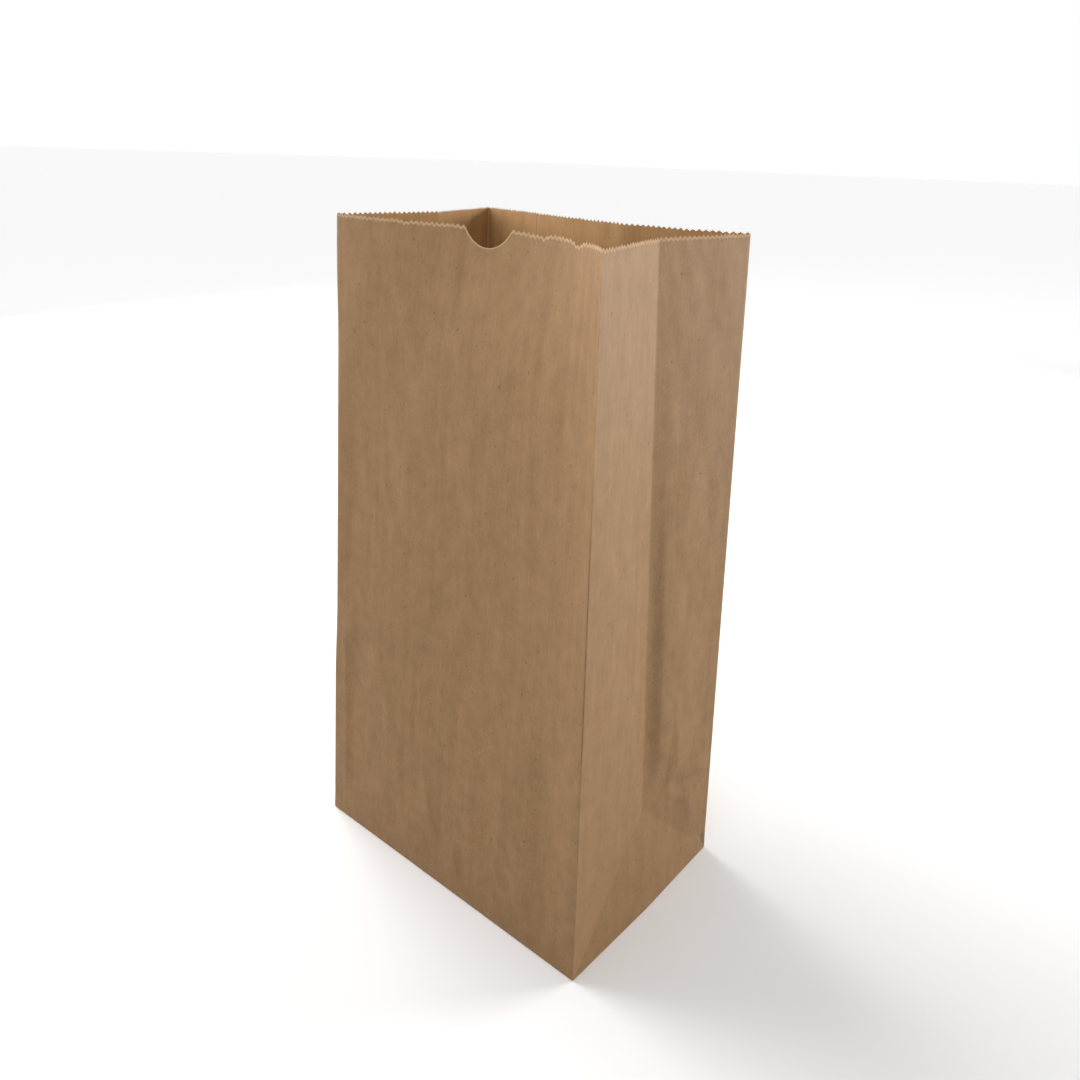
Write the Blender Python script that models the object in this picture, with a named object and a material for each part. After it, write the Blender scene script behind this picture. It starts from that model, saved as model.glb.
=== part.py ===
"""Brown kraft paper bag with a square bottom, standing open.

One sheet of paper makes the whole bag: a tube with a lap seam down its back, a gusset folded into
each side, and a bottom of folded and glued flaps. The sheet is one closed body, a wall one paper
thick with its true folds, saw-cut rim, thumb notch and bottom flaps.

Frame: metres, +Z up. The origin is the middle of the bottom, on the surface that the bag stands on.
The front panel, with the thumb notch, faces -Y.
"""

from math import acos, cos, sqrt

import bmesh
import bpy
from mathutils import Vector
from mathutils.geometry import tessellate_polygon

# Driving sizes of the flat bag: width by depth by height.
WIDTH = 0.1524
DEPTH = 0.1016
HEIGHT = 0.2794
PAPER = 0.0001

# The saw that cut the tube off: 63 teeth fit across a wide panel, and 21 across half a gusset.
WIDE_TEETH = 63
GUSSET_TEETH = 21
PITCH = WIDTH / WIDE_TEETH
TOOTH_DEPTH = 0.0009

# Thumb notch in the front panel's rim, in whole teeth from the front left fold.
NOTCH_FROM = 28
NOTCH_TO = 37
NOTCH_DEPTH = 0.0068
NOTCH_STEPS = 12

# Lap seam inside the back panel, in whole teeth from the back left fold: two papers thick.
SEAM_FROM = 12
SEAM_TO = 17

# Where the four upright folds end at the rim. The open mouth is turned a little on the base.
RIM_FRONT_LEFT = (-0.0683, -0.0355)
RIM_FRONT_RIGHT = (0.0748, -0.0579)
RIM_BACK_RIGHT = (0.0667, 0.0409)
RIM_BACK_LEFT = (-0.0802, 0.0609)

# Gusset centre folds: how far in they stand at the top of the bottom triangle, and their rim points.
APEX_INSET = 0.0063
RIM_GUSSET_RIGHT = (0.0607, -0.0091)
RIM_GUSSET_LEFT = (-0.0638, 0.0136)

# The foot of each side bellies out a little between its corners.
FOOT_BELLY = 0.001

# The wide panels dish inwards towards the rim: depth of the dish, and how far it leans to the right.
FRONT_DISH = 0.0154
FRONT_DISH_LEAN = 0.0051
BACK_DISH = 0.0107
BACK_DISH_LEAN = 0.0033
DISH_POWER = 1.4

# The level fold across the back lies this much lower than the tips of the bottom triangles.
BACK_FOLD_DROP = 0.0033

# Bottom: both long flaps reach this far past the middle and are glued over the short ones.
FLAP_OVERLAP = 0.010
FLAP_MARGIN = 0.0008
FLOOR_LAYERS = 4

# Mesh rows: up to the bottom triangle's tip, from there to the rim band, and the band's height.
TRIANGLE_ROWS = 3
WALL_ROWS = 6
RIM_BAND = 0.012

# Mesh columns, in teeth from the left end of each panel as seen from outside the bag.
FRONT_COLUMNS = (0, 9, 18, NOTCH_FROM, NOTCH_TO, 46, 54, WIDE_TEETH)
GUSSET_COLUMNS = (0, 7, 14, GUSSET_TEETH)
SEAM_RIGHT = WIDE_TEETH - SEAM_TO
SEAM_LEFT = WIDE_TEETH - SEAM_FROM
BACK_COLUMNS = (0, 9, 18, 27, 37, SEAM_RIGHT, SEAM_RIGHT + 1, SEAM_LEFT - 1, SEAM_LEFT, 57, WIDE_TEETH)

KRAFT_COLOUR = (0.42, 0.27, 0.15, 1.0)
KRAFT_ROUGHNESS = 0.85

FRONT_LEFT = Vector((-WIDTH / 2, -DEPTH / 2, 0))
FRONT_RIGHT = Vector((WIDTH / 2, -DEPTH / 2, 0))
BACK_RIGHT = Vector((WIDTH / 2, DEPTH / 2, 0))
BACK_LEFT = Vector((-WIDTH / 2, DEPTH / 2, 0))


def blend(start, end, share):
    return start + (end - start) * share


def at_rim(xy):
    return Vector((xy[0], xy[1], HEIGHT))


def upright_fold(foot, rim_xy, height):
    """A point of one of the four upright folds, which run straight from the foot to the rim."""
    return blend(foot, at_rim(rim_xy), height / HEIGHT)


def dish(share, height, depth, lean):
    """How far a wide panel stands in of its chord, at a share of its width from its left end.

    Each part is scaled to reach its own full depth: the round one in the middle of the panel, and
    the leaning one about a fifth of the width from each end, inwards at one and outwards at the other.
    """
    round_part = 4 * depth * share * (1 - share)
    lean_part = 6 * sqrt(3) * lean * share * (1 - share) * (1 - 2 * share)
    return (round_part + lean_part) * (height / HEIGHT) ** DISH_POWER


def wide_panel(left, right, share, height, depth, lean):
    """A point of the front or back panel between its two upright folds."""
    start = upright_fold(*left, height)
    end = upright_fold(*right, height)
    along = (end - start).normalized()
    inward = Vector((-along.y, along.x, 0))
    return blend(start, end, share) + inward * dish(share, height, depth, lean)


def front_panel(teeth, height):
    return wide_panel((FRONT_LEFT, RIM_FRONT_LEFT), (FRONT_RIGHT, RIM_FRONT_RIGHT),
                      teeth / WIDE_TEETH, height, FRONT_DISH, -FRONT_DISH_LEAN)


def back_panel(teeth, height):
    return wide_panel((BACK_RIGHT, RIM_BACK_RIGHT), (BACK_LEFT, RIM_BACK_LEFT),
                      teeth / WIDE_TEETH, height, BACK_DISH, BACK_DISH_LEAN)


def gusset_half(foot, rim_xy, side, gusset_rim_xy, from_fold, height):
    """A point of half a gusset, from_fold being its distance from the upright fold.

    A fold at 45 degrees runs from the foot of the upright fold to the apex of the bottom triangle,
    half the depth up. Above it the paper spans from the upright fold to the centre fold. Below it
    lies half of the bottom triangle.
    """
    apex = Vector((side * (WIDTH / 2 - APEX_INSET), 0, DEPTH / 2))
    foot_middle = Vector((side * (WIDTH / 2 + FOOT_BELLY), 0, 0))
    upright = upright_fold(foot, rim_xy, height)
    if height >= DEPTH / 2:
        centre_share = (height - DEPTH / 2) / (HEIGHT - DEPTH / 2)
        centre = blend(apex, at_rim(gusset_rim_xy), centre_share)
        return blend(upright, centre, from_fold / (DEPTH / 2))
    diagonal = blend(foot, apex, height / (DEPTH / 2))
    if from_fold <= height:
        return blend(upright, diagonal, from_fold / height) if height else foot.copy()
    centre = blend(foot_middle, apex, height / (DEPTH / 2))
    return blend(diagonal, centre, (from_fold - height) / (DEPTH / 2 - height))


def right_front_half(teeth, height):
    return gusset_half(FRONT_RIGHT, RIM_FRONT_RIGHT, 1, RIM_GUSSET_RIGHT, teeth * PITCH, height)


def right_back_half(teeth, height):
    from_fold = DEPTH / 2 - teeth * PITCH
    return gusset_half(BACK_RIGHT, RIM_BACK_RIGHT, 1, RIM_GUSSET_RIGHT, from_fold, height)


def left_back_half(teeth, height):
    return gusset_half(BACK_LEFT, RIM_BACK_LEFT, -1, RIM_GUSSET_LEFT, teeth * PITCH, height)


def left_front_half(teeth, height):
    from_fold = DEPTH / 2 - teeth * PITCH
    return gusset_half(FRONT_LEFT, RIM_FRONT_LEFT, -1, RIM_GUSSET_LEFT, from_fold, height)


# Each panel: its surface, its mesh columns, and how many teeth across it is, going round the bag
# anticlockwise as seen from above.
PANELS = (
    (front_panel, FRONT_COLUMNS, WIDE_TEETH),
    (right_front_half, GUSSET_COLUMNS, GUSSET_TEETH),
    (right_back_half, GUSSET_COLUMNS, GUSSET_TEETH),
    (back_panel, BACK_COLUMNS, WIDE_TEETH),
    (left_back_half, GUSSET_COLUMNS, GUSSET_TEETH),
    (left_front_half, GUSSET_COLUMNS, GUSSET_TEETH),
)


def back_fold_height(panel, teeth):
    """Height of the level fold, which runs across the back and slopes up to the gusset folds."""
    if panel is back_panel:
        return DEPTH / 2 - BACK_FOLD_DROP
    if panel is right_back_half:
        return DEPTH / 2 - BACK_FOLD_DROP * teeth / GUSSET_TEETH
    if panel is left_back_half:
        return DEPTH / 2 - BACK_FOLD_DROP * (1 - teeth / GUSSET_TEETH)
    return DEPTH / 2


def row_height(row, panel, teeth):
    if row < TRIANGLE_ROWS:
        return row * DEPTH / 2 / TRIANGLE_ROWS
    if row == TRIANGLE_ROWS:
        return back_fold_height(panel, teeth)
    return blend(DEPTH / 2, HEIGHT - RIM_BAND, (row - TRIANGLE_ROWS) / WALL_ROWS)


def paper_layers(panel, teeth):
    """Two papers where the lap seam runs, one elsewhere."""
    inside_seam = SEAM_RIGHT < teeth < SEAM_LEFT
    return 2 if panel is back_panel and inside_seam else 1


def notch_drop(teeth):
    """How far the notch's edge lies under the tips of the teeth: an arc of a circle."""
    half = (NOTCH_TO - NOTCH_FROM) / 2 * PITCH
    sagitta = NOTCH_DEPTH - TOOTH_DEPTH
    radius = (half ** 2 + sagitta ** 2) / (2 * sagitta)
    from_middle = (teeth - (NOTCH_FROM + NOTCH_TO) / 2) * PITCH
    return NOTCH_DEPTH - radius + (radius ** 2 - from_middle ** 2) ** 0.5


def rim_points(panel, first, last):
    """The rim's points over one column: pairs of teeth across and drop under the tooth tips."""
    if panel is front_panel and NOTCH_FROM <= first and last <= NOTCH_TO:
        across = [blend(first, last, i / NOTCH_STEPS) for i in range(NOTCH_STEPS + 1)]
        return [(x, notch_drop(x)) for x in across], []
    valleys = [(x, TOOTH_DEPTH) for x in range(first, last + 1)]
    tips = [(x + 0.5, 0.0) for x in range(first, last)]
    return valleys, tips


class Sheet:
    """Collects the faces of the wall: each corner of the paper has an outer and an inner vertex."""

    def __init__(self):
        self.mesh = bmesh.new()
        self.pairs = {}
        self.rim = []

    def pair(self, key, place, neighbours, layers):
        """The outer and inner vertex at a place, made once for each key."""
        if key not in self.pairs:
            before, after = neighbours
            first = (place - before).to_2d().normalized()
            second = (after - place).to_2d().normalized()
            turn = acos(max(-1.0, min(1.0, first.dot(second)))) / 2
            along = (first + second).normalized()
            inward = Vector((-along.y, along.x, 0))
            inner = place + inward * (PAPER * layers / cos(turn))
            inner.z = max(inner.z, FLOOR_LAYERS * PAPER)
            self.pairs[key] = (self.mesh.verts.new(place), self.mesh.verts.new(inner))
        return self.pairs[key]

    def face(self, *corners):
        """One patch of the wall, in triangles, so that the inner skin bends just as the outer one does."""
        first = corners[0]
        for second, third in zip(corners[1:], corners[2:]):
            self.mesh.faces.new([c[0] for c in (first, second, third)])
            self.mesh.faces.new([c[1] for c in (first, third, second)])

    def edge(self, start, end):
        """The cut edge of the paper between two points of the rim."""
        self.mesh.faces.new((start[0], start[1], end[1], end[0]))


def grid_ring(row):
    """Keys, places and layers of one row of the wall, once round the bag."""
    ring = []
    for index, (panel, columns, _) in enumerate(PANELS):
        for column, teeth in enumerate(columns[:-1]):
            place = panel(teeth, row_height(row, panel, teeth))
            ring.append(((row, index, column), place, paper_layers(panel, teeth)))
    return ring


def add_ring(sheet, ring):
    pairs = []
    for i, (key, place, layers) in enumerate(ring):
        neighbours = (ring[i - 1][1], ring[(i + 1) % len(ring)][1])
        pairs.append(sheet.pair(key, place, neighbours, layers))
    return pairs


def add_wall(sheet):
    """The wall from the foot to the rim band. In the gussets the 45 degree folds part the squares."""
    rows = TRIANGLE_ROWS + WALL_ROWS + 1
    rings = [add_ring(sheet, grid_ring(row)) for row in range(rows)]
    for row in range(rows - 1):
        low, high = rings[row], rings[row + 1]
        start = 0
        for panel, columns, _ in PANELS:
            for column in range(len(columns) - 1):
                i = start + column
                j = (i + 1) % len(low)
                rising = panel in (right_front_half, left_back_half) and column == row
                falling = (panel in (right_back_half, left_front_half)
                           and column == TRIANGLE_ROWS - 1 - row)
                if rising:
                    sheet.face(low[i], low[j], high[j])
                    sheet.face(low[i], high[j], high[i])
                elif falling:
                    sheet.face(low[i], low[j], high[i])
                    sheet.face(low[j], high[j], high[i])
                else:
                    sheet.face(low[i], low[j], high[j], high[i])
            start += len(columns) - 1
    return rings[0], rings[-1]


def add_rim(sheet, top_ring):
    """The rim band, from the last row of the wall up to the saw teeth and the thumb notch."""
    start = 0
    for index, (panel, columns, _) in enumerate(PANELS):
        for column, (first, last) in enumerate(zip(columns, columns[1:])):
            below = (top_ring[start + column], top_ring[(start + column + 1) % len(top_ring)])
            edge, tips = rim_points(panel, first, last)
            line = [rim_pair(sheet, index, *point) for point in edge]
            points = [rim_pair(sheet, index, *point) for point in tips]
            middle = len(line) // 2
            for i, (one, two) in enumerate(zip(line, line[1:])):
                sheet.face(below[0] if i < middle else below[1], two, one)
                if points:
                    sheet.face(one, two, points[i])
                    sheet.edge(one, points[i])
                    sheet.edge(points[i], two)
                else:
                    sheet.edge(one, two)
            sheet.face(below[0], below[1], line[middle])
        start += len(columns) - 1


def rim_pair(sheet, index, teeth, drop):
    """The two vertices of one rim point. The last point of a panel is the next panel's first."""
    panel, _, across = PANELS[index]
    if teeth == across:
        index = (index + 1) % len(PANELS)
        panel, _, across = PANELS[index]
        teeth = 0
    height = HEIGHT - drop
    place = panel(teeth, height)
    after = panel(teeth + 0.5, height)
    if teeth == 0:
        before_panel, _, before_across = PANELS[index - 1]
        before = before_panel(before_across - 0.5, height)
    else:
        before = panel(teeth - 0.5, height)
    return sheet.pair(("rim", index, teeth), place, (before, after), paper_layers(panel, teeth))


def fill(mesh, outline, holes, facing):
    """Flat faces between an outline and its holes, all of them lists of vertices."""
    loops = [outline, *holes]
    verts = [v for loop in loops for v in loop]
    for triangle in tessellate_polygon([[v.co for v in loop] for loop in loops]):
        corners = [verts[i] for i in triangle]
        normal = (corners[1].co - corners[0].co).cross(corners[2].co - corners[0].co)
        if normal.z * facing < 0:
            corners.reverse()
        mesh.faces.new(corners)


def add_bottom(sheet, foot_ring):
    """The floor inside, and the glued flaps underneath.

    The short side flaps lie next to the floor. The front flap covers them, and the back flap
    covers all and is what the bag stands on. Both long flaps have sides at 45 degrees.
    """
    mesh = sheet.mesh
    side_level = 2 * PAPER
    front_level = PAPER
    back_level = 0.0
    for outer, _ in foot_ring:
        outer.co.z = side_level
    half_width = WIDTH / 2 - 2 * FLAP_MARGIN
    half_depth = DEPTH / 2 - FLAP_MARGIN
    crossing = half_width - half_depth
    end = crossing - FLAP_OVERLAP

    def point(x, y, level):
        return mesh.verts.new((x, y, level))

    back_corners = {s: [point(s * half_width, half_depth, z) for z in (back_level, side_level)]
                    for s in (-1, 1)}
    front_corners = {s: [point(s * half_width, -half_depth, z) for z in (front_level, side_level)]
                     for s in (-1, 1)}
    crossings = {s: [point(s * crossing, 0, z) for z in (back_level, front_level, side_level)]
                 for s in (-1, 1)}
    ends = {s: [point(s * end, -FLAP_OVERLAP, z) for z in (back_level, front_level)]
            for s in (-1, 1)}

    back_flap = [back_corners[-1][0], back_corners[1][0], crossings[1][0], ends[1][0],
                 ends[-1][0], crossings[-1][0]]
    front_flap = [front_corners[-1][0], front_corners[1][0], crossings[1][1], ends[1][1],
                  ends[-1][1], crossings[-1][1]]
    under_sides = [back_corners[-1][1], back_corners[1][1], crossings[1][2], front_corners[1][1],
                   front_corners[-1][1], crossings[-1][2]]
    fill(mesh, back_flap, [], -1)
    fill(mesh, front_flap, [], -1)
    fill(mesh, [outer for outer, _ in foot_ring], [under_sides], -1)
    fill(mesh, [inner for _, inner in foot_ring], [], 1)

    cut_edges = (
        (back_corners[-1][0], back_corners[1][0], back_corners[1][1], back_corners[-1][1]),
        (front_corners[1][0], front_corners[-1][0], front_corners[-1][1], front_corners[1][1]),
        (ends[1][0], ends[-1][0], ends[-1][1], ends[1][1]),
        (back_corners[1][0], crossings[1][0], crossings[1][1], crossings[1][2], back_corners[1][1]),
        (crossings[-1][0], back_corners[-1][0], back_corners[-1][1], crossings[-1][2],
         crossings[-1][1]),
        (crossings[1][1], front_corners[1][0], front_corners[1][1], crossings[1][2]),
        (front_corners[-1][0], crossings[-1][1], crossings[-1][2], front_corners[-1][1]),
        (crossings[1][0], ends[1][0], ends[1][1], crossings[1][1]),
        (ends[-1][0], crossings[-1][0], crossings[-1][1], ends[-1][1]),
    )
    for corners in cut_edges:
        mesh.faces.new(corners)


def kraft_paper():
    material = bpy.data.materials.new("kraft_paper")
    material.use_nodes = True
    shader = material.node_tree.nodes["Principled BSDF"]
    shader.inputs["Base Color"].default_value = KRAFT_COLOUR
    shader.inputs["Roughness"].default_value = KRAFT_ROUGHNESS
    shader.inputs["Metallic"].default_value = 0.0
    return material


def paper_bag():
    sheet = Sheet()
    foot_ring, top_ring = add_wall(sheet)
    add_rim(sheet, top_ring)
    add_bottom(sheet, foot_ring)
    bmesh.ops.recalc_face_normals(sheet.mesh, faces=sheet.mesh.faces)
    mesh = bpy.data.meshes.new("paper_bag")
    sheet.mesh.to_mesh(mesh)
    sheet.mesh.free()
    mesh.materials.append(kraft_paper())
    bag = bpy.data.objects.new("paper_bag", mesh)
    bpy.context.collection.objects.link(bag)
    return bag


def main():
    for old in list(bpy.data.objects):
        bpy.data.objects.remove(old, do_unlink=True)
    paper_bag()


main()
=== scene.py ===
"""Brown kraft paper lunch bag standing open: fine surface, materials, light and camera.

The bag is one sheet of paper. It is built here as one closed two-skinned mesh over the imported
part: every point of the sheet is found from how far round the bag it lies and how high up it is.
Round the bag runs anticlockwise as seen from above, starting at the front left fold.
"""

from math import cos, pi, radians, sin, sqrt

import bpy
import numpy as np
from mathutils import Matrix, Vector


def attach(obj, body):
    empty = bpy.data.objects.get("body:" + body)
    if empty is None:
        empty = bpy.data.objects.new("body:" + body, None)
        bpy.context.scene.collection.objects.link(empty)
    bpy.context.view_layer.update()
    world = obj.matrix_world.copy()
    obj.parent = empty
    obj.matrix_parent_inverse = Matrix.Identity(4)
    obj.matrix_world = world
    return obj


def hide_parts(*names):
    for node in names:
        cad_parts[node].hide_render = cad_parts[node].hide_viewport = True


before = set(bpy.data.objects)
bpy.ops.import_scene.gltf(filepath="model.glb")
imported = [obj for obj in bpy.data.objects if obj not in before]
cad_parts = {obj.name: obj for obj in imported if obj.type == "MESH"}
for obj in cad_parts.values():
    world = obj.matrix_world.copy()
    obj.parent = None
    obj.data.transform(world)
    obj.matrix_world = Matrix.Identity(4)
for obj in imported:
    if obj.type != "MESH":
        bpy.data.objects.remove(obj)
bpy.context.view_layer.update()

MM = 0.001

# Driving sizes of the flat bag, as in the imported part.
WIDTH = 0.1524
DEPTH = 0.1016
HEIGHT = 0.2794
PAPER = 0.0001
HALF_DEPTH = DEPTH / 2
GIRTH = 2 * (WIDTH + DEPTH)

# The open mouth: where the upright folds and the gussets' centre folds reach the rim.
RIM_FRONT_LEFT = (-0.0683, -0.0355)
RIM_FRONT_RIGHT = (0.0748, -0.0579)
RIM_BACK_RIGHT = (0.0667, 0.0409)
RIM_BACK_LEFT = (-0.0802, 0.0609)
RIM_GUSSET_RIGHT = (0.0607, -0.0091)
RIM_GUSSET_LEFT = (-0.0638, 0.0136)
APEX_INSET = 0.0063
FOOT_BELLY = 0.001

# The wide panels dish inwards towards the rim.
FRONT_DISH = 0.0154
FRONT_DISH_LEAN = -0.0051
BACK_DISH = 0.0107
BACK_DISH_LEAN = 0.0033
DISH_POWER = 1.4

# Saw-cut rim and thumb notch, in teeth from the front left fold.
WIDE_TEETH = 63
PITCH = WIDTH / WIDE_TEETH
TOOTH_DEPTH = 0.0009
NOTCH_FROM = 28
NOTCH_TO = 37
NOTCH_DEPTH = 0.0068

# Where the rim is torn or rides high: distance from the front left fold, half-width and depth.
TEARS = (
    (0.0350, 0.0030, -0.0003),
    (0.0395, 0.0030, 0.0005),
    (0.0590, 0.0070, -0.0002),
    (0.1020, 0.0110, 0.0005),
    (0.1065, 0.0022, 0.0007),
    (0.1275, 0.0055, 0.0017),
    (0.1480, 0.0080, -0.0003),
)

# Lap seam in the back panel, measured from the back left fold.
SEAM_NEAR = 12 * PITCH
SEAM_FAR = 17 * PITCH
SEAM_LIFT = 0.00025
SEAM_EASE = 0.009
SEAM_EDGE_EASE = 0.0015

# Bottom layers and flaps.
FLAP_OVERLAP = 0.010
FLAP_MARGIN = 0.0008
FLOOR_TOP = 4 * PAPER
FOOT_BAND = 0.004
FOOT_TUCK = 0.00015

# Where each panel starts, going round.
FRONT_START = 0.0
RIGHT_FRONT_START = WIDTH
RIGHT_BACK_START = WIDTH + HALF_DEPTH
BACK_START = WIDTH + DEPTH
LEFT_BACK_START = 2 * WIDTH + DEPTH
LEFT_FRONT_START = 2 * WIDTH + DEPTH + HALF_DEPTH
FOLDS = (FRONT_START, RIGHT_FRONT_START, RIGHT_BACK_START, BACK_START, LEFT_BACK_START,
         LEFT_FRONT_START)

# Mesh density.
BAND_BOTTOM = HEIGHT - 0.012
FINE_TOP = 0.125
FINE_STEP = 0.0026
COARSE_STEP = 0.0055
RIM_ROWS = 5
FOLD_COLUMN = 0.00035
SEAM_COLUMN = 0.00004
SHARP_FROM = radians(58)

# Material slots of the sheet.
OUTSIDE = 0
INSIDE = 1
CUT_EDGE = 2

rng = np.random.default_rng(11)


def point(x, y, z=0.0):
    """A place in metres."""
    return np.array((x, y, z), float)


FRONT_LEFT = point(-WIDTH / 2, -HALF_DEPTH)
FRONT_RIGHT = point(WIDTH / 2, -HALF_DEPTH)
BACK_RIGHT = point(WIDTH / 2, HALF_DEPTH)
BACK_LEFT = point(-WIDTH / 2, HALF_DEPTH)


def mix(start, end, share):
    """The value a share of the way from start to end."""
    return start + (end - start) * share


def smooth(x, low, high):
    """0 below low, 1 above high, and an even S between."""
    t = np.clip((x - low) / (high - low), 0.0, 1.0)
    return t * t * (3 - 2 * t)


def window(x, low, high, soft):
    """1 between low and high, fading to 0 over soft on both sides."""
    return smooth(x, low - soft, low + soft) * (1 - smooth(x, high - soft, high + soft))


def ridge(x, peak, before, after):
    """A smooth hump with its top at peak, reaching 0 a distance before and after it."""
    share = np.where(x < peak, (peak - x) / before, (x - peak) / after)
    return 0.5 + 0.5 * np.cos(pi * np.clip(share, 0, 1))


def crease(x, z, start, end, width):
    """1 along a line from start to end, falling off on both sides and fading at its ends."""
    dx, dz = end[0] - start[0], end[1] - start[1]
    along = ((x - start[0]) * dx + (z - start[1]) * dz) / (dx * dx + dz * dz)
    held = np.clip(along, 0, 1)
    away = np.hypot(x - start[0] - held * dx, z - start[1] - held * dz)
    fade = smooth(along, -0.05, 0.15) * (1 - smooth(along, 0.85, 1.05))
    return np.exp(-((away / width) ** 1.3)) * fade


def tent(x, z, corners, peak):
    """A low three-sided tent over a triangle: 1 at its peak, 0 along the triangle's sides."""
    (ax, az), (bx, bz), (cx, cz) = corners
    area = (bx - ax) * (cz - az) - (cx - ax) * (bz - az)

    def shares(px, pz):
        first = ((bx - px) * (cz - pz) - (cx - px) * (bz - pz)) / area
        second = ((cx - px) * (az - pz) - (ax - px) * (cz - pz)) / area
        return first, second, 1 - first - second

    at_peak = shares(*peak)
    heights = [here / top for here, top in zip(shares(x, z), at_peak)]
    return np.clip(np.minimum(np.minimum(heights[0], heights[1]), heights[2]), 0, 1)


def ripples(x, z, across, upwards, count, seed):
    """Even, seeded unevenness from -1 to 1, with waves about across by upwards long."""
    random = np.random.default_rng(seed)
    total = np.zeros(np.broadcast(x, z).shape)
    for _ in range(count):
        kx = 2 * pi / (across * random.uniform(0.6, 1.8)) * random.choice((-1, 1))
        kz = 2 * pi / (upwards * random.uniform(0.6, 1.8))
        total = total + np.sin(kx * x + kz * z + random.uniform(0, 2 * pi))
    return total / sqrt(count)


# ---------------------------------------------------------------------------------------------
# The sheet's shape


def upright(foot, rim_xy, z):
    """One of the four upright folds, straight from the foot to the rim."""
    return mix(foot, point(*rim_xy, HEIGHT), (z / HEIGHT)[..., None])


def wide_panel(left, right, share, z, depth, lean):
    """The front or back panel: straight between its two folds, then dished inwards."""
    start = upright(*left, z)
    end = upright(*right, z)
    along = end - start
    along = along / np.linalg.norm(along, axis=-1, keepdims=True)
    inward = np.stack((-along[..., 1], along[..., 0], np.zeros_like(share)), -1)
    round_part = 4 * depth * share * (1 - share)
    lean_part = 6 * sqrt(3) * lean * share * (1 - share) * (1 - 2 * share)
    dish = (round_part + lean_part) * (np.maximum(z, 0) / HEIGHT) ** DISH_POWER
    return mix(start, end, share[..., None]) + inward * dish[..., None]


def gusset_half(foot, rim_xy, side, gusset_rim_xy, from_fold, z):
    """Half a gusset: a plane above the 45 degree fold's tip, and the bottom triangle below it."""
    apex = point(side * (WIDTH / 2 - APEX_INSET), 0, HALF_DEPTH)
    foot_middle = point(side * (WIDTH / 2 + FOOT_BELLY), 0, 0)
    fold = upright(foot, rim_xy, z)
    above_share = np.clip((z - HALF_DEPTH) / (HEIGHT - HALF_DEPTH), 0, None)[..., None]
    centre_above = mix(apex, point(*gusset_rim_xy, HEIGHT), above_share)
    above = mix(fold, centre_above, (from_fold / HALF_DEPTH)[..., None])
    low = np.clip(z / HALF_DEPTH, 0, 1)[..., None]
    diagonal = mix(foot, apex, low)
    centre_below = mix(foot_middle, apex, low)
    near_share = from_fold / np.maximum(z, 1e-9)
    near = mix(fold, diagonal, np.clip(near_share, 0, 1)[..., None])
    far_share = (from_fold - z) / np.maximum(HALF_DEPTH - z, 1e-9)
    far = mix(diagonal, centre_below, np.clip(far_share, 0, 1)[..., None])
    below = np.where((from_fold <= z)[..., None], near, far)
    return np.where((z >= HALF_DEPTH)[..., None], above, below)


def bare_sheet(s, z):
    """The folded sheet with sharp folds and smooth panels, at distance s round the bag."""
    s = np.mod(s, GIRTH)
    front = wide_panel((FRONT_LEFT, RIM_FRONT_LEFT), (FRONT_RIGHT, RIM_FRONT_RIGHT),
                       s / WIDTH, z, FRONT_DISH, FRONT_DISH_LEAN)
    back = wide_panel((BACK_RIGHT, RIM_BACK_RIGHT), (BACK_LEFT, RIM_BACK_LEFT),
                      (s - BACK_START) / WIDTH, z, BACK_DISH, BACK_DISH_LEAN)
    right_front = gusset_half(FRONT_RIGHT, RIM_FRONT_RIGHT, 1, RIM_GUSSET_RIGHT,
                              s - RIGHT_FRONT_START, z)
    right_back = gusset_half(BACK_RIGHT, RIM_BACK_RIGHT, 1, RIM_GUSSET_RIGHT,
                             BACK_START - s, z)
    left_back = gusset_half(BACK_LEFT, RIM_BACK_LEFT, -1, RIM_GUSSET_LEFT,
                            s - LEFT_BACK_START, z)
    left_front = gusset_half(FRONT_LEFT, RIM_FRONT_LEFT, -1, RIM_GUSSET_LEFT, GIRTH - s, z)
    panels = (front, right_front, right_back, back, left_back, left_front)
    which = np.searchsorted(FOLDS, s, side="right") - 1
    out = np.zeros(s.shape + (3,))
    for index, panel in enumerate(panels):
        out = np.where((which == index)[..., None], panel, out)
    return out


def from_nearest(s, fold):
    """Distance along the sheet to a fold, the short way round."""
    return np.abs(np.mod(s - fold + GIRTH / 2, GIRTH) - GIRTH / 2)


def fold_softness(s, z):
    """How far each side of a fold the paper is still turning."""
    soft = np.full(s.shape, 0.35 * MM)
    front_right = 0.3 * MM + 0.4 * MM * window(z, 0.110, 0.200, 0.02)
    front_left = 0.6 * MM + 1.8 * MM * window(z, 0.095, 0.250, 0.02)
    soft = np.where(from_nearest(s, FRONT_START) < 0.02, front_left, soft)
    soft = np.where(from_nearest(s, RIGHT_FRONT_START) < 0.02, front_right, soft)
    soft = np.where(from_nearest(s, BACK_START) < 0.02, 0.9 * MM, soft)
    soft = np.where(from_nearest(s, LEFT_BACK_START) < 0.02, 0.7 * MM, soft)
    low = smooth(z, 0.0, 0.01)
    return np.maximum(soft * mix(0.5, 1.0, low), 0.2 * MM)


def soft_sheet(s, z):
    """The sheet with its upright folds rounded: each point is the mean of its neighbourhood."""
    reach = fold_softness(s, z)
    samples = (-0.9, -0.6, -0.3, 0.0, 0.3, 0.6, 0.9)
    return sum(bare_sheet(s + reach * k, z) for k in samples) / len(samples)


# ---------------------------------------------------------------------------------------------
# Creases, dents and unevenness, in millimetres outwards


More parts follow.
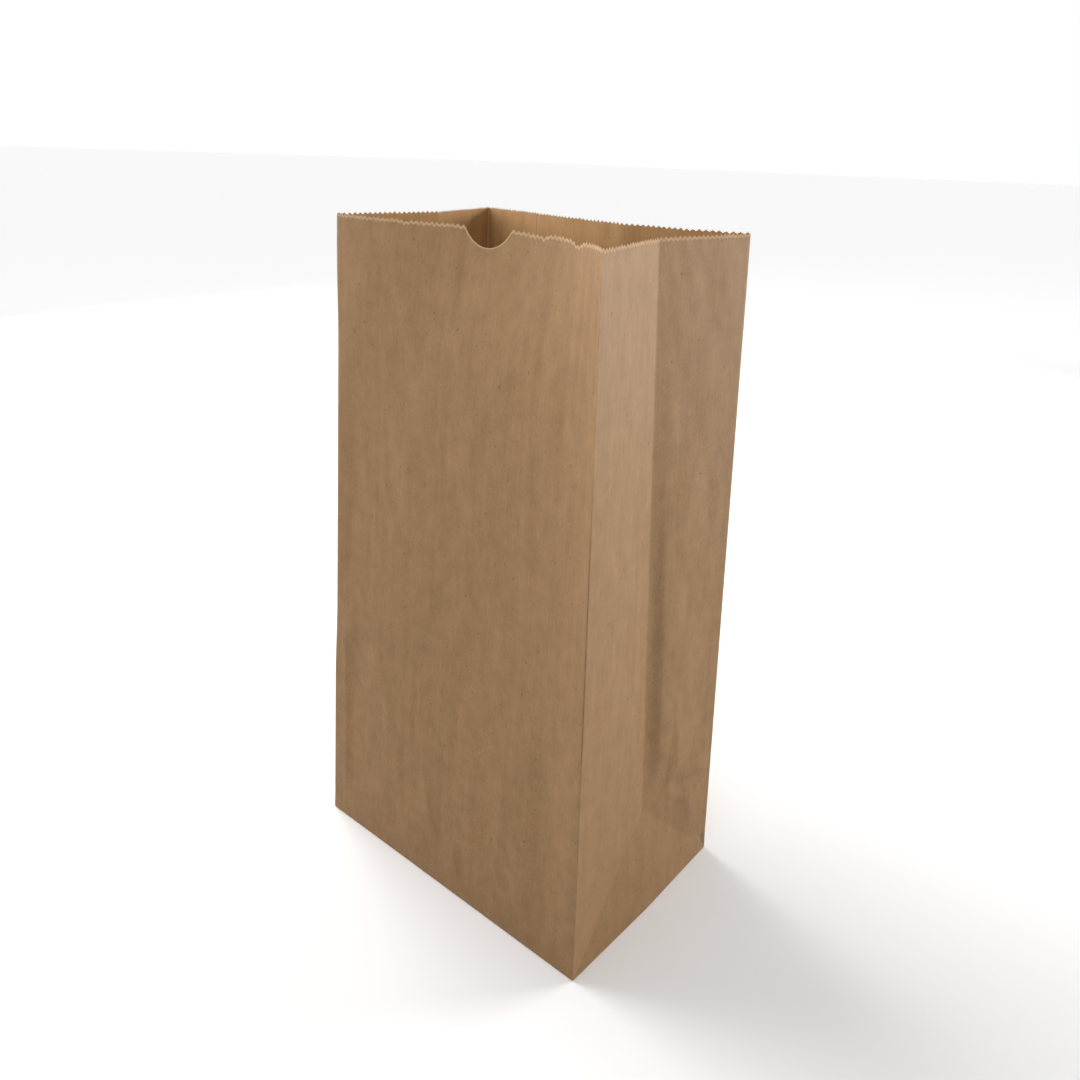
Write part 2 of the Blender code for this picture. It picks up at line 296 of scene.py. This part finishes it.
def front_relief(x, z):
    """The front panel, x from its left fold and z up, both in millimetres."""
    flap_line = 102 + 17 * np.sin(pi * np.clip((x - 8) / 220, 0, 1)) ** 0.8
    flap_reach = window(x, 12, 142, 6)
    step = -0.40 * (1 - smooth(z, flap_line - 1.6, flap_line + 0.6)) * flap_reach
    step = step * smooth(z, flap_line - 40, flap_line - 2)
    left_turn = -1.2 * ridge(x, 13, 13, 42) * window(z, 118, 225, 30)
    left_patch = -0.9 * ridge(x, 13, 6, 26) * window(z, 24, flap_line - 3, 4)
    valley = -1.2 * ridge(x, 134, 14, 15) * window(z, 26, 100, 18)
    upper = 4.6 * ridge(x, 98, 76, 54) * ridge(z, 232, 120, 47)
    line = -0.20 * crease(x, z, (56, 54), (56.5, 112), 1.6)
    line = line - 0.20 * crease(x, z, (68, 186), (68, 206), 1.5)
    facets = 0.75 * tent(x, z, ((62.9, 60), (77.7, 17), (56, 26)), (68, 34))
    facets = facets - 0.60 * tent(x, z, ((62.9, 62), (78.5, 17), (84, 52)), (74, 42))
    facets = facets + 0.50 * tent(x, z, ((82.7, 32), (90.3, 6), (78, 12)), (84.5, 17))
    facets = facets - 0.42 * tent(x, z, ((82.7, 33), (91, 6), (97, 26)), (89, 21))
    streaks = 0.10 * ripples(x, z, 9, 160, 7, 3) * smooth(x, 60, 120) * smooth(z, 130, 200)
    return step + left_turn + left_patch + valley + upper + line + facets + streaks


def right_relief(x, z):
    """The right gusset, x from its front fold and z up, both in millimetres."""
    middle = HALF_DEPTH / MM
    beside_crease = 1.7 * ridge(x, middle + 10, 9, 34) * smooth(z, 54, 80)
    beside_crease = beside_crease * (1 - smooth(z, 100, 250))
    level = -0.35 * crease(x, z, (67, 53), (101.6, 46), 1.2)
    facet = 0.95 * tent(x, z, ((101.0, 47.5), (66.0, 53.0), (69.0, 104.0)), (74.0, 62.0))
    low_facet = 0.7 * tent(x, z, ((98.0, 45.0), (68.0, 50.0), (88.0, 18.0)), (84.0, 40.0))
    dimple = -0.8 * tent(x, z, ((92.0, 13.0), (101.2, 12.0), (100.6, 0.5)), (98.4, 7.5))
    front_low = 0.25 * ridge(x, 22, 16, 20) * window(z, 60, 150, 30)
    return beside_crease + level + facet + low_facet + dimple + front_low


def back_relief(x, z):
    """The back panel, x from its right fold as seen from behind, and z up, in millimetres."""
    level = -0.22 * crease(x, z, (-4, 47.5), (156.4, 47.5), 1.2)
    flap_line = 104 + 12 * np.sin(pi * np.clip(x / 152.4, 0, 1))
    step = -0.12 * (1 - smooth(z, flap_line - 1.6, flap_line + 0.6)) * window(x, 10, 142, 6)
    step = step * smooth(z, flap_line - 40, flap_line - 2)
    buckle = -0.8 * ridge(x, 52, 9, 9) * smooth(z, 250, 279)
    buckle = buckle + 0.5 * ridge(x, 38, 10, 10) * smooth(z, 245, 279)
    corner = -1.1 * tent(x, z, ((152.0, 282.0), (136.0, 262.0), (152.0, 232.0)), (145.0, 262.0))
    return level + step + buckle + corner


def left_relief(x, z):
    """The left gusset, x from its back fold and z up, in millimetres."""
    level = -0.2 * crease(x, z, (0, 46), (36, 53), 1.2)
    facet = 0.45 * tent(x, z, ((0.6, 47.5), (35.6, 53.0), (33.0, 100.0)), (28.0, 62.0))
    swell = 0.3 * ridge(x, 34, 16, 16) * smooth(z, 60, 120)
    return level + facet + swell


def relief(s, z):
    """All of it, in metres outwards, fading out where the paper is held by its folds."""
    s = np.mod(s, GIRTH)
    x, up = s / MM, z / MM
    front = front_relief(x, up)
    right = right_relief(x - RIGHT_FRONT_START / MM, up)
    back = back_relief(x - BACK_START / MM, up)
    left = left_relief(x - LEFT_BACK_START / MM, up)
    out = np.where(s < RIGHT_FRONT_START, front, 0.0)
    out = np.where((s >= RIGHT_FRONT_START) & (s < BACK_START), right, out)
    out = np.where((s >= BACK_START) & (s < LEFT_BACK_START), back, out)
    out = np.where(s >= LEFT_BACK_START, left, out)
    held = np.min([from_nearest(s, fold) for fold in FOLDS], axis=0)
    wander = 0.16 * ripples(x, up, 34, 60, 9, 5) + 0.05 * ripples(x, up, 11, 26, 9, 7)
    wander = wander * smooth(held, 0, 0.014) * smooth(z, 0, 0.02)
    return (out * smooth(held, 0, 0.0025) + wander) * MM * smooth(z, 0, FOOT_BAND)


# ---------------------------------------------------------------------------------------------
# The saw-cut rim


def rim_drop(s):
    """How far the rim lies under the height of the bag, at distances s round it."""
    teeth = np.mod(s, GIRTH) / PITCH
    number = np.floor(teeth).astype(int)
    count = int(round(GIRTH / PITCH))
    tips = rng.uniform(0.0, 0.22 * MM, count)
    valleys = rng.uniform(-0.15 * MM, 0.15 * MM, count + 1)
    share = teeth - number
    tip = tips[number % count]
    valley = TOOTH_DEPTH + np.where(share < 0.5, valleys[number], valleys[number + 1])
    drop = mix(valley, tip, 1 - np.abs(2 * share - 1))

    half = (NOTCH_TO - NOTCH_FROM) / 2 * PITCH
    sagitta = NOTCH_DEPTH - TOOTH_DEPTH
    radius = (half ** 2 + sagitta ** 2) / (2 * sagitta)
    across = (teeth - (NOTCH_FROM + NOTCH_TO) / 2) * PITCH
    arc = NOTCH_DEPTH - radius + np.sqrt(np.maximum(radius ** 2 - across ** 2, 0))
    for place, width, depth in TEARS:
        drop = drop + depth * ridge(np.mod(s, GIRTH), place, width, width)
    return np.maximum(np.where(np.abs(across) <= half, arc, drop), 0)


# ---------------------------------------------------------------------------------------------
# Building the mesh


def column_places():
    """Where the mesh's columns stand, going round: two a tooth, and extra ones at the folds."""
    places = list(np.arange(int(round(2 * GIRTH / PITCH))) * PITCH / 2)
    for fold in FOLDS:
        places += [(fold - FOLD_COLUMN) % GIRTH, (fold + FOLD_COLUMN) % GIRTH]
    for from_left in (SEAM_NEAR, SEAM_FAR):
        edge = LEFT_BACK_START - from_left
        places += [edge - SEAM_COLUMN, edge + SEAM_COLUMN]
    return np.array(sorted(places))


def row_places():
    """Heights of the mesh's rows below the rim: fine at the bottom, coarser above."""
    low = list(np.arange(0, int(round(2 * HALF_DEPTH / PITCH)) + 1) * PITCH / 2)
    fine = list(np.arange(HALF_DEPTH + FINE_STEP, FINE_TOP, FINE_STEP))
    coarse = list(np.arange(FINE_TOP, BAND_BOTTOM - COARSE_STEP / 2, COARSE_STEP))
    return np.array(low + fine + coarse)


def outward(points):
    """Unit normals of a grid of points whose columns go round and whose rows go up."""
    along = np.roll(points, -1, axis=1) - np.roll(points, 1, axis=1)
    up = np.gradient(points, axis=0)
    normal = np.cross(along, up)
    return normal / np.maximum(np.linalg.norm(normal, axis=-1, keepdims=True), 1e-12)


def seam_offsets(s):
    """How far the outer and inner skin stand off the sheet at the lap seam."""
    near = LEFT_BACK_START - SEAM_NEAR
    far = LEFT_BACK_START - SEAM_FAR
    outer = np.where(s < far, -PAPER * np.exp(-(far - s) / SEAM_EASE), 0.0)
    outer = np.where((s >= far) & (s < near), SEAM_LIFT * np.exp(-(s - far) / SEAM_EDGE_EASE), outer)
    inner = np.full(s.shape, PAPER)
    lapped = (s > far) & (s < near)
    lift = SEAM_LIFT * np.exp(-np.abs(near - s) / SEAM_EDGE_EASE)
    inner = np.where(lapped, 2 * PAPER + lift, inner)
    inside_left = s >= near
    inner = np.where(inside_left, PAPER * (1 - np.exp(-(s - near) / SEAM_EASE) * 0.3), inner)
    in_back = (s >= BACK_START) & (s < LEFT_BACK_START)
    return np.where(in_back, outer, 0.0), np.where(in_back, inner, PAPER)


def sheet_grid():
    """Outer and inner points of the wall, as rows going up of columns going round."""
    s = column_places()
    rows = row_places()
    top = HEIGHT - rim_drop(s)
    z = [np.full(s.shape, height) for height in rows]
    for row in range(RIM_ROWS + 1):
        share = row / RIM_ROWS
        z.append(mix(BAND_BOTTOM, top, 1 - (1 - share) ** 1.6))
    z = np.array(z)
    s = np.broadcast_to(s, z.shape)
    points = soft_sheet(s, z)
    normal = outward(points)
    points = points + normal * relief(s, z)[..., None]
    normal = outward(points)
    outer_off, inner_off = seam_offsets(s)
    outer = points + normal * outer_off[..., None]
    inner = points - normal * inner_off[..., None]
    outer[..., 2] += 2 * PAPER * (1 - smooth(z, 0, FOOT_BAND))
    outer[0] -= normal[0] * FOOT_TUCK
    inner[..., 2] = np.maximum(inner[..., 2], FLOOR_TOP)
    outer[-1, :, 2] = z[-1]
    inner[-1, :, 2] = z[-1]
    return s[0], z, outer, inner


def sheet_faces(s, rows, columns):
    """Faces of the two skins, the rim between them and both bottoms, with their material slots."""
    count = rows * columns
    faces, slots = [], []
    rising = ((s >= RIGHT_FRONT_START) & (s < RIGHT_BACK_START)) | (
        (s >= LEFT_BACK_START) & (s < LEFT_FRONT_START))
    for i in range(rows - 1):
        for j in range(columns):
            k = (j + 1) % columns
            a, b, c, d = i * columns + j, i * columns + k, (i + 1) * columns + k, (i + 1) * columns + j
            corners = ((a, b, c), (a, c, d)) if rising[j] else ((a, b, d), (b, c, d))
            for p, q, r in corners:
                faces.append((p, q, r))
                slots.append(CUT_EDGE if i == rows - 2 else OUTSIDE)
                faces.append((count + p, count + r, count + q))
                slots.append(INSIDE)
    top = (rows - 1) * columns
    for j in range(columns):
        k = (j + 1) % columns
        faces.append((top + j, top + k, count + top + k, count + top + j))
        slots.append(CUT_EDGE)
    faces.append(tuple(reversed(range(columns))))
    slots.append(OUTSIDE)
    faces.append(tuple(count + j for j in range(columns)))
    slots.append(INSIDE)
    return faces, slots


def lay_out_sheet(mesh, s, z, verts):
    """The sheet's own flat coordinates, cut at the lap seam, for the grain of the paper."""
    seam = LEFT_BACK_START - SEAM_NEAR
    sheet_u = np.mod(s - seam - 1e-6, GIRTH)
    flat = np.stack((np.broadcast_to(sheet_u, z.shape), z), -1).reshape(-1, 2)
    flat = np.concatenate((flat, flat))
    uv = mesh.uv_layers.new(name="sheet")
    corner_verts = np.zeros(len(mesh.loops), int)
    mesh.loops.foreach_get("vertex_index", corner_verts)
    loop_uv = flat[corner_verts]
    for polygon in mesh.polygons:
        u = loop_uv[polygon.loop_start:polygon.loop_start + polygon.loop_total, 0]
        if u.max() - u.min() > GIRTH / 2 and polygon.loop_total <= 4:
            u[u < GIRTH / 2] += GIRTH
    for bottom in (-2, -1):
        polygon = mesh.polygons[len(mesh.polygons) + bottom]
        span = slice(polygon.loop_start, polygon.loop_start + polygon.loop_total)
        loop_uv[span] = verts[corner_verts[span], :2]
    uv.data.foreach_set("uv", loop_uv.astype(np.float32).ravel())


def build_bag(materials):
    """The whole bag as one closed mesh of two skins."""
    s, z, outer, inner = sheet_grid()
    verts = np.concatenate((outer.reshape(-1, 3), inner.reshape(-1, 3)))
    faces, slots = sheet_faces(s, *z.shape)
    mesh = bpy.data.meshes.new("paper_bag_sheet")
    mesh.from_pydata(verts.tolist(), [], faces)
    for material in materials:
        mesh.materials.append(material)
    mesh.polygons.foreach_set("material_index", slots)
    mesh.polygons.foreach_set("use_smooth", [True] * len(faces))
    lay_out_sheet(mesh, s, z, verts)
    mesh.update()
    mesh.set_sharp_from_angle(angle=SHARP_FROM)
    bag = bpy.data.objects.new("paper_bag_sheet", mesh)
    bpy.context.scene.collection.objects.link(bag)
    return bag


def saw_line(start, end, inwards):
    """A saw-cut edge between two points: a zigzag whose valleys lie inwards by a tooth's depth."""
    length = (end - start).length
    count = max(1, round(length / PITCH))
    line = []
    for i in range(count):
        line.append(start.lerp(end, i / count) + inwards * TOOTH_DEPTH)
        line.append(start.lerp(end, (i + 0.5) / count))
    line.append(end + inwards * TOOTH_DEPTH)
    return line


def paper_patch(name, outline, low, material_top, material_under, edge):
    """A flat flap one paper thick over an outline, with its cut edge in the lighter material."""
    count = len(outline)
    verts = [(p.x, p.y, low) for p in outline] + [(p.x, p.y, low + PAPER) for p in outline]
    faces = [tuple(reversed(range(count))), tuple(range(count, 2 * count))]
    faces += [(i, (i + 1) % count, count + (i + 1) % count, count + i) for i in range(count)]
    mesh = bpy.data.meshes.new(name)
    mesh.from_pydata(verts, [], faces)
    for material in (material_under, material_top, edge):
        mesh.materials.append(material)
    mesh.polygons.foreach_set("material_index", [0, 1] + [2] * count)
    uv = mesh.uv_layers.new(name="sheet")
    for loop in mesh.loops:
        uv.data[loop.index].uv = mesh.vertices[loop.vertex_index].co.xy
    mesh.update()
    patch = bpy.data.objects.new(name, mesh)
    bpy.context.scene.collection.objects.link(patch)
    return patch


def long_flap(name, side, low, materials):
    """The front (side -1) or back (side 1) flap: a trapezium with 45 degree sides."""
    outside, inside, edge = materials
    half_width = WIDTH / 2 - 2 * FLAP_MARGIN
    half_depth = HALF_DEPTH - FLAP_MARGIN
    end = half_width - half_depth - FLAP_OVERLAP
    base = [Vector((-half_width, side * half_depth, 0)), Vector((half_width, side * half_depth, 0))]
    tip = saw_line(Vector((end, -side * FLAP_OVERLAP, 0)), Vector((-end, -side * FLAP_OVERLAP, 0)),
                   Vector((0, side, 0)))
    outline = base + tip
    if side > 0:
        outline.reverse()
    return paper_patch(name, outline, low, inside, outside, edge)


def side_tuck(name, side, low, materials):
    """A short flap, folded in first, whose saw-cut end shows on the floor inside."""
    outside, inside, edge = materials
    half_depth = HALF_DEPTH - 4 * FLAP_MARGIN
    near = side * (WIDTH / 2 - 4 * FLAP_MARGIN)
    far = side * (WIDTH / 2 - HALF_DEPTH - FLAP_OVERLAP)
    tip = saw_line(Vector((far, half_depth, 0)), Vector((far, -half_depth, 0)),
                   Vector((side, 0, 0)))
    outline = tip + [Vector((near, -half_depth, 0)), Vector((near, half_depth, 0))]
    if side < 0:
        outline.reverse()
    return paper_patch(name, outline, low, inside, outside, edge)


# ---------------------------------------------------------------------------------------------
# Materials


class Nodes:
    """A short way to write a material's nodes."""

    def __init__(self, name):
        self.material = bpy.data.materials.new(name)
        self.material.use_nodes = True
        self.tree = self.material.node_tree
        self.shader = self.tree.nodes["Principled BSDF"]

    def add(self, kind, links=(), **values):
        node = self.tree.nodes.new(kind)
        for key, value in values.items():
            setattr(node, key, value)
        for socket, source in dict(links).items():
            if isinstance(source, bpy.types.NodeSocket):
                self.tree.links.new(source, node.inputs[socket])
            else:
                node.inputs[socket].default_value = source
        return node

    def noise(self, coords, scale, stretch, detail, roughness=0.55):
        mapping = self.add("ShaderNodeMapping", {"Vector": coords, "Scale": stretch})
        noise = self.add("ShaderNodeTexNoise", {"Vector": mapping.outputs[0], "Scale": scale,
                                                "Detail": detail, "Roughness": roughness})
        return noise.outputs["Fac"]

    def maths(self, operation, first, second):
        node = self.add("ShaderNodeMath", {0: first, 1: second}, operation=operation)
        return node.outputs[0]

    def spread(self, value, low, high, to_low, to_high):
        node = self.add("ShaderNodeMapRange", {"Value": value, "From Min": low, "From Max": high,
                                               "To Min": to_low, "To Max": to_high})
        return node.outputs[0]


def kraft(name, colour, roughness, gloss, mottle, grain, fleck, bump):
    """Kraft paper: cloudy pulp, fine fibres along the grain, and sparse dark and pale flecks."""
    n = Nodes(name)
    coords = n.add("ShaderNodeTexCoord").outputs["UV"]
    cloud = n.noise(coords, 170, (1.0, 0.7, 1.0), 5, 0.6)
    pulp = n.noise(coords, 900, (1.0, 0.8, 1.0), 3, 0.6)
    fibres = n.noise(coords, 1500, (1.0, 0.10, 1.0), 4, 0.7)
    streaks = n.noise(coords, 260, (1.0, 0.03, 1.0), 3, 0.6)
    tone = n.spread(cloud, 0.3, 0.7, 1 - mottle, 1 + mottle)
    tone = n.maths("MULTIPLY", tone, n.spread(pulp, 0.3, 0.7, 1 - grain, 1 + grain))
    tone = n.maths("MULTIPLY", tone, n.spread(fibres, 0.3, 0.7, 1 - grain, 1 + grain))
    tone = n.maths("MULTIPLY", tone, n.spread(streaks, 0.3, 0.7, 1 - 0.6 * mottle, 1 + 0.6 * mottle))
    speck_noise = n.noise(coords, 620, (1.0, 0.8, 1.0), 1, 0.4)
    specks = n.spread(speck_noise, 0.735, 0.775, 0.0, fleck)
    pale_noise = n.noise(coords, 800, (0.5, 1.0, 1.0), 1, 0.4)
    pale = n.spread(pale_noise, 0.73, 0.78, 0.0, 0.5 * fleck)
    tone = n.maths("MULTIPLY", tone, n.maths("SUBTRACT", 1.0, specks))
    tone = n.maths("ADD", tone, pale)
    base = n.add("ShaderNodeMix", {"Factor": 1.0}, data_type="RGBA", blend_type="MULTIPLY")
    base.inputs["A"].default_value = (*colour, 1.0)
    grey = n.add("ShaderNodeCombineColor", {"Red": tone, "Green": tone, "Blue": tone})
    n.tree.links.new(grey.outputs[0], base.inputs["B"])
    n.tree.links.new(base.outputs["Result"], n.shader.inputs["Base Color"])
    rough = n.spread(pulp, 0.3, 0.7, roughness - 0.06, roughness + 0.06)
    n.tree.links.new(rough, n.shader.inputs["Roughness"])
    n.shader.inputs["Specular IOR Level"].default_value = gloss
    height = n.maths("ADD", n.maths("MULTIPLY", cloud, 0.5), n.maths("MULTIPLY", pulp, 0.25))
    height = n.maths("ADD", height, n.maths("MULTIPLY", fibres, 0.25))
    dent = n.add("ShaderNodeBump", {"Height": height, "Distance": 0.0004, "Strength": bump})
    n.tree.links.new(dent.outputs[0], n.shader.inputs["Normal"])
    return n.material


def floor_material():
    n = Nodes("studio_floor")
    coords = n.add("ShaderNodeTexCoord").outputs["Object"]
    haze = n.noise(coords, 3, (1, 1, 1), 3)
    tone = n.spread(haze, 0.3, 0.7, 0.85, 0.87)
    grey = n.add("ShaderNodeCombineColor", {"Red": tone, "Green": tone, "Blue": tone})
    n.tree.links.new(grey.outputs[0], n.shader.inputs["Base Color"])
    n.shader.inputs["Roughness"].default_value = 0.9
    away = n.add("ShaderNodeVectorMath", {0: coords}, operation="LENGTH").outputs["Value"]
    glow = n.spread(away, FLOOR_GLOW_FROM, FLOOR_GLOW_TO, 0.0, FLOOR_GLOW)
    n.shader.inputs["Emission Color"].default_value = (1.0, 1.0, 1.0, 1.0)
    n.tree.links.new(glow, n.shader.inputs["Emission Strength"])
    return n.material


# ---------------------------------------------------------------------------------------------
# Studio and camera

FLOOR_HALF = 40.0
FLOOR_GAP = 0.00005

# Away from the bag the floor glows a little, so that it runs into the white surroundings.
FLOOR_GLOW = 0.66
FLOOR_GLOW_FROM = 0.5
FLOOR_GLOW_TO = 1.7


def build_floor():
    """A wide pale floor, a hair under the bag."""
    corners = [(x * FLOOR_HALF, y * FLOOR_HALF, 0) for x, y in ((-1, -1), (1, -1), (1, 1), (-1, 1))]
    mesh = bpy.data.meshes.new("studio_floor")
    mesh.from_pydata(corners, [], [(0, 1, 2, 3)])
    mesh.materials.append(floor_material())
    floor = bpy.data.objects.new("studio_floor", mesh)
    floor.location.z = -FLOOR_GAP
    bpy.context.scene.collection.objects.link(floor)


def area_light(name, place, aim, size, power):
    """A square softbox that faces aim and doesn't show itself to the camera."""
    data = bpy.data.lights.new(name, "AREA")
    data.shape = "SQUARE"
    data.size = size
    data.energy = power
    light = bpy.data.objects.new(name, data)
    light.location = place
    light.rotation_euler = (Vector(place) - Vector(aim)).to_track_quat("Z", "Y").to_euler()
    light.visible_camera = False
    bpy.context.scene.collection.objects.link(light)


# Name, place, side of the square and power of each soft light. All face the middle of the bag.
LIGHTS = (
    ("left_softbox", (-0.98, -0.10, 0.84), 1.2, 24.0),
    ("overhead_softbox", (0.11, -0.18, 0.65), 0.2, 0.7),
    ("right_back_softbox", (0.59, 1.02, 0.36), 0.6, 13.5),
    ("back_softbox", (0.0, 1.18, 0.36), 0.6, 1.6),
)
LIGHTS_AIM = (0.0, 0.0, 0.15)

# An even light from straight above, and the brightness of the surroundings by height.
CEILING_POWER = 0.5
CEILING_SPREAD = radians(90)
HORIZON_STRENGTH = 1.0
SKY_STRENGTH = 0.10
HORIZON_TOP = 0.16
SKY_FROM = 0.34


def build_light():
    for name, place, size, power in LIGHTS:
        area_light(name, place, LIGHTS_AIM, size, power)
    ceiling = bpy.data.lights.new("ceiling", "SUN")
    ceiling.energy = CEILING_POWER
    ceiling.angle = CEILING_SPREAD
    bpy.context.scene.collection.objects.link(bpy.data.objects.new("ceiling", ceiling))
    build_surroundings()


def build_surroundings():
    """White up to a little over the horizon, and dimmer above."""
    world = bpy.data.worlds.new("studio")
    world.use_nodes = True
    tree = world.node_tree
    background = tree.nodes["Background"]
    background.inputs["Color"].default_value = (1.0, 1.0, 1.0, 1.0)
    direction = tree.nodes.new("ShaderNodeTexCoord")
    parts = tree.nodes.new("ShaderNodeSeparateXYZ")
    strength = tree.nodes.new("ShaderNodeMapRange")
    strength.inputs["From Min"].default_value = HORIZON_TOP
    strength.inputs["From Max"].default_value = SKY_FROM
    strength.inputs["To Min"].default_value = HORIZON_STRENGTH
    strength.inputs["To Max"].default_value = SKY_STRENGTH
    tree.links.new(direction.outputs["Generated"], parts.inputs[0])
    tree.links.new(parts.outputs["Z"], strength.inputs["Value"])
    tree.links.new(strength.outputs[0], background.inputs["Strength"])
    bpy.context.scene.world = world


# The camera stands at the front right, looks down a little and is rolled slightly.
CAMERA_PLACE = (0.2216, -0.2565, 0.3011)
CAMERA_AZIMUTH = radians(39.68)
CAMERA_ELEVATION = radians(23.53)
CAMERA_ROLL = radians(2.08)
LENS_MM = 29.27
SENSOR_MM = 36.0


def build_camera():
    data = bpy.data.cameras.new("camera")
    data.lens = LENS_MM
    data.sensor_width = SENSOR_MM
    data.clip_start = 0.01
    data.clip_end = 50
    camera = bpy.data.objects.new("camera", data)
    back = Vector((sin(CAMERA_AZIMUTH) * cos(CAMERA_ELEVATION),
                   -cos(CAMERA_AZIMUTH) * cos(CAMERA_ELEVATION), sin(CAMERA_ELEVATION)))
    level = Vector((cos(CAMERA_AZIMUTH), sin(CAMERA_AZIMUTH), 0))
    right = level * cos(CAMERA_ROLL) + back.cross(level) * sin(CAMERA_ROLL)
    up = back.cross(right)
    turn = Matrix((right, up, back)).transposed()
    camera.matrix_world = Matrix.Translation(CAMERA_PLACE) @ turn.to_4x4()
    bpy.context.scene.collection.objects.link(camera)
    bpy.context.scene.camera = camera


def main():
    outside = kraft("kraft_outside", (0.272, 0.160, 0.0774), roughness=0.60, gloss=0.10,
                    mottle=0.085, grain=0.065, fleck=0.40, bump=0.4)
    # The inside paper, which also tops the bottom flaps, is painted lighter than the outside. This
    # painted glow stands in for light shining through the thin paper and bouncing round inside the
    # bag.
    inside = kraft("kraft_inside_painted_glow", (0.47, 0.280, 0.130), roughness=0.8, gloss=0.10,
                   mottle=0.060, grain=0.060, fleck=0.30, bump=0.4)
    edge = kraft("kraft_cut_edge", (0.42, 0.280, 0.160), roughness=0.95, gloss=0.10,
                 mottle=0.03, grain=0.06, fleck=0.10, bump=0.4)
    papers = (outside, inside, edge)

    bag = build_bag(papers)
    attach(bag, "root")
    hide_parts("paper_bag")

    flaps = (
        long_flap("bottom_flap_back", 1, 0.0, papers),
        long_flap("bottom_flap_front", -1, PAPER, papers),
        side_tuck("bottom_tuck_right", 1, FLOOR_TOP, papers),
        side_tuck("bottom_tuck_left", -1, FLOOR_TOP, papers),
    )
    for flap in flaps:
        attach(flap, "root")

    build_floor()
    build_light()
    build_camera()
    bpy.context.scene.view_settings.view_transform = "Standard"


main()
